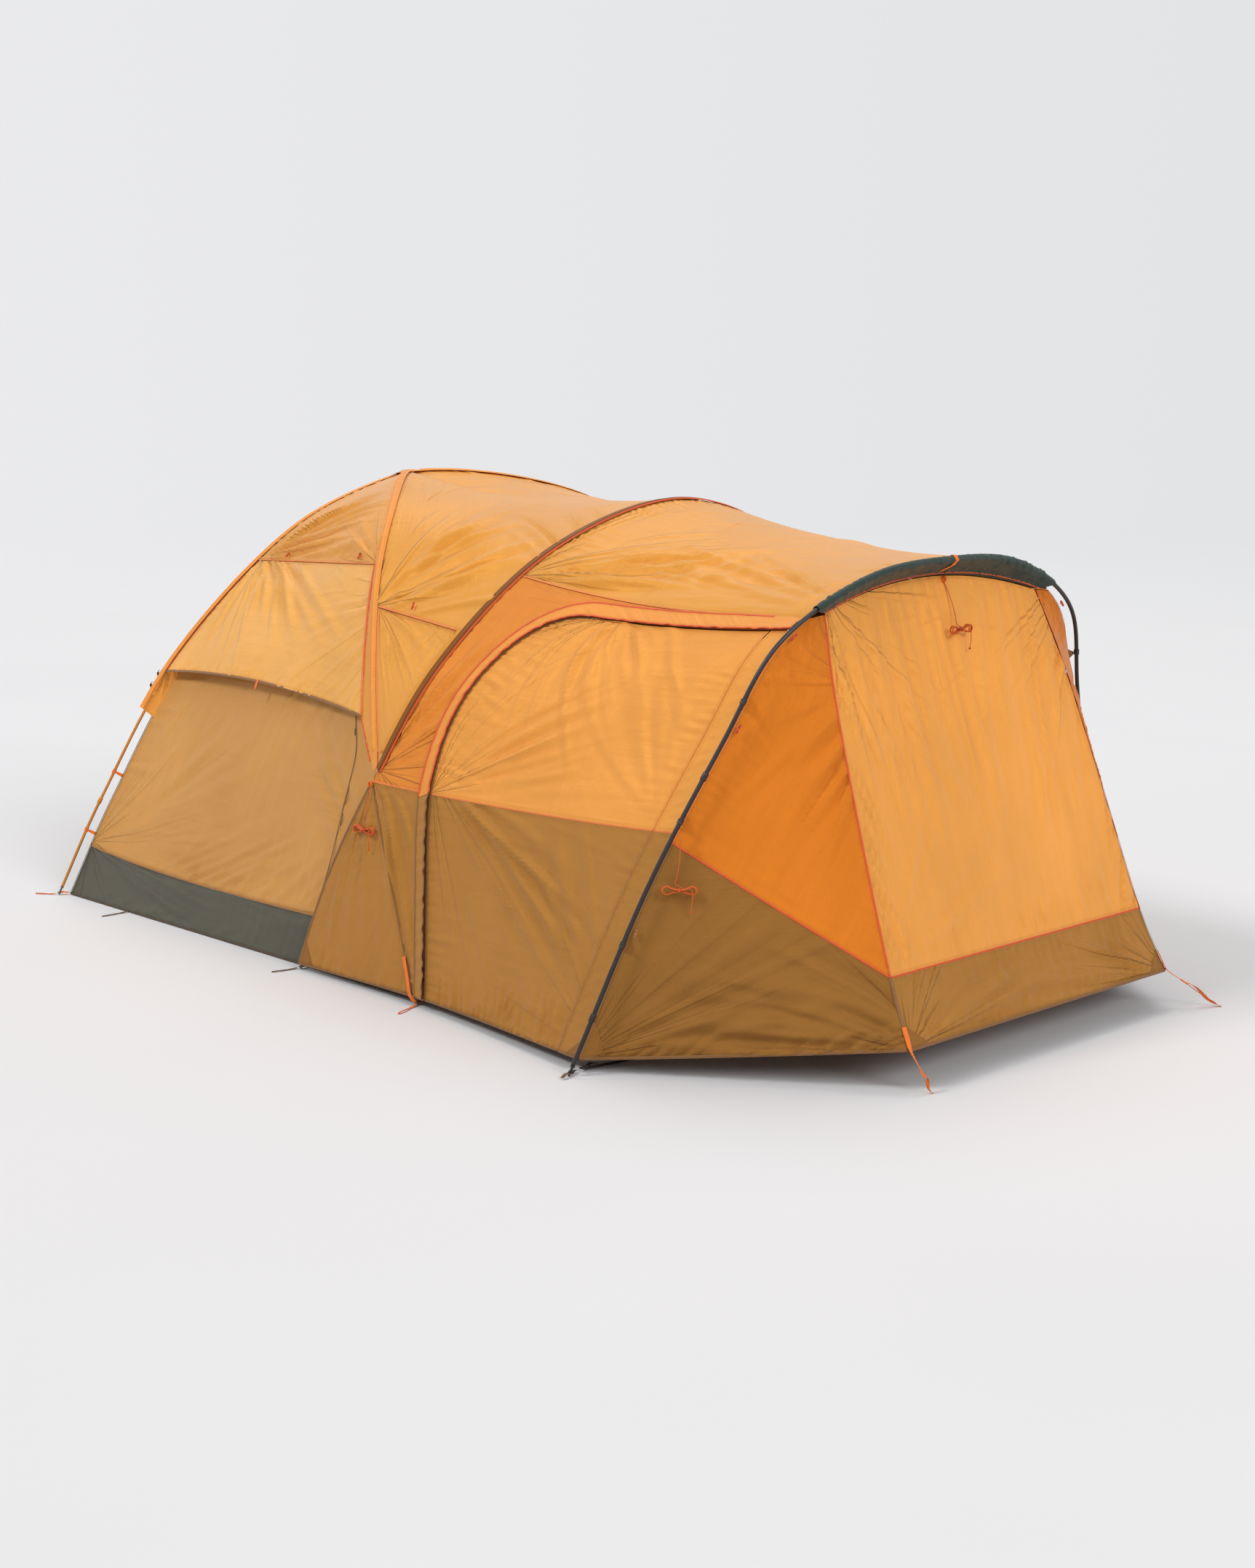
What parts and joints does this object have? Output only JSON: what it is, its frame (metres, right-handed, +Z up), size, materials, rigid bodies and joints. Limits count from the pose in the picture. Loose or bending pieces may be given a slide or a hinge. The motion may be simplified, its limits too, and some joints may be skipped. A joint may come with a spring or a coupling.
{
  "type": "family dome tent on poles",
  "caption": "Six-person dome tent on crossing poles with an arch-pole porch, zipped side doors, lifting awnings and a bathtub floor.",
  "frame": {"origin": "middle of the cabin floor's underside, on the ground", "axes": "+X from the cabin towards the porch, +Y to the far side, +Z up"},
  "size_m": [4.809, 2.9182, 1.9252],
  "materials": {
    "pole_gold": "anodised",
    "pole_black": "satin",
    "steel": "satin",
    "black_webbing": "woven",
    "black_plastic": "moulded",
    "grey_coated": "coated polyester",
    "tan_cloth": "woven polyester",
    "mesh_cloth": "fine netting",
    "orange_cloth": "coated polyester",
    "sleeve_cloth": "woven polyester",
    "red_binding": "woven tape",
    "orange_webbing": "woven webbing",
    "orange_cord": "braided"
  },
  "bodies": {
    "tent": {"dome_pole_a": "pole_gold", "dome_pole_b": "pole_gold", "hoop_pole": "pole_gold", "porch_pole": "pole_black", "pole_tips": "steel", "pole_ferrules": "steel", "foot_grommets": "steel", "foot_webbing": "black_webbing", "leg_clips": "black_plastic", "porch_clips": "black_plastic", "tub_floor": "grey_coated", "rear_wall": "tan_cloth", "side_wall_near": "tan_cloth", "side_wall_far": "tan_cloth", "front_wall": "tan_cloth", "mesh_windows": "mesh_cloth", "roof_rear": "orange_cloth", "roof_near": "orange_cloth", "roof_far": "orange_cloth", "roof_front": "orange_cloth", "dome_sleeves": "sleeve_cloth", "hoop_sleeve": "sleeve_cloth", "porch_roof": "orange_cloth", "fly_upper_near": "orange_cloth", "fly_upper_far": "orange_cloth", "fly_lower_near": "tan_cloth", "fly_lower_far": "tan_cloth", "storm_flap_near": "red_binding", "storm_flap_far": "red_binding", "zip_near": "black_plastic", "zip_far": "black_plastic", "front_side_near": "orange_cloth", "front_side_far": "orange_cloth", "front_side_skirts": "tan_cloth", "front_panel": "orange_cloth", "front_skirt": "tan_cloth", "sleeve_band": "grey_coated", "stake_loops": "black_webbing", "toggles": "red_binding", "guy_loops": "black_webbing", "strap_buckles": "black_plastic", "tie_straps": "orange_webbing", "guyline_crossing": "orange_cord", "guyline_porch": "orange_cord", "guyline_front": "orange_cord", "hank_crossing": "orange_cord", "hank_porch": "orange_cord", "hank_front": "orange_cord"},
    "porch_door_near": {"porch_door_upper_near": "orange_cloth", "porch_door_lower_near": "tan_cloth"},
    "porch_door_far": {"porch_door_upper_far": "orange_cloth", "porch_door_lower_far": "tan_cloth"},
    "awning_near": {"awning_near": "orange_cloth"},
    "awning_far": {"awning_far": "orange_cloth"},
    "awning_rear": {"awning_rear": "orange_cloth"},
    "vent_flap_near": {"vent_flap_near": "orange_cloth"},
    "vent_flap_far": {"vent_flap_far": "orange_cloth"},
    "cabin_door": {"cabin_door": "tan_cloth"},
    "slider_near": {"slider_near": "black_plastic"},
    "slider_far": {"slider_far": "black_plastic"}
  },
  "joints": [
    {"name": "porch_door_near_swing", "type": "hinge", "parent": "tent", "child": "porch_door_near", "pos_m": [2.4205, -1.1569, 0.7732], "axis": [0.2468, 0.3918, 0.8863], "range_deg": [0, 120]},
    {"name": "porch_door_far_swing", "type": "hinge", "parent": "tent", "child": "porch_door_far", "pos_m": [2.4205, 1.1569, 0.7732], "axis": [-0.2468, 0.3918, -0.8863], "range_deg": [0, 120]},
    {"name": "awning_near_lift", "type": "hinge", "parent": "tent", "child": "awning_near", "pos_m": [0.5087, -0.7861, 1.59], "axis": [-0.9758, 0.21, -0.0608], "range_deg": [0, 100]},
    {"name": "awning_far_lift", "type": "hinge", "parent": "tent", "child": "awning_far", "pos_m": [0.5087, 0.7861, 1.59], "axis": [0.9758, 0.21, 0.0608], "range_deg": [0, 100]},
    {"name": "awning_rear_lift", "type": "hinge", "parent": "tent", "child": "awning_rear", "pos_m": [-0.6955, 0, 1.515], "axis": [0, 1, 0], "range_deg": [0, 100]},
    {"name": "vent_flap_near_lift", "type": "hinge", "parent": "tent", "child": "vent_flap_near", "pos_m": [1.2019, -0.9231, 1.385], "axis": [-0.9945, 0.0484, 0.0927], "range_deg": [0, 90]},
    {"name": "vent_flap_far_lift", "type": "hinge", "parent": "tent", "child": "vent_flap_far", "pos_m": [1.2019, 0.9231, 1.385], "axis": [0.9945, 0.0484, -0.0927], "range_deg": [0, 90]},
    {"name": "cabin_door_swing", "type": "hinge", "parent": "tent", "child": "cabin_door", "pos_m": [1.1424, -0.48, 0.26], "axis": [0.4315, 0, -0.9021], "range_deg": [0, 80]},
    {"name": "slider_near_pull", "type": "slide", "parent": "tent", "child": "slider_near", "axis": [-0.1266, 0.1443, 0.9814], "range_m": [0, 0.42]},
    {"name": "slider_far_pull", "type": "slide", "parent": "tent", "child": "slider_far", "axis": [-0.1266, -0.1443, 0.9814], "range_m": [0, 0.42]}
  ]
}
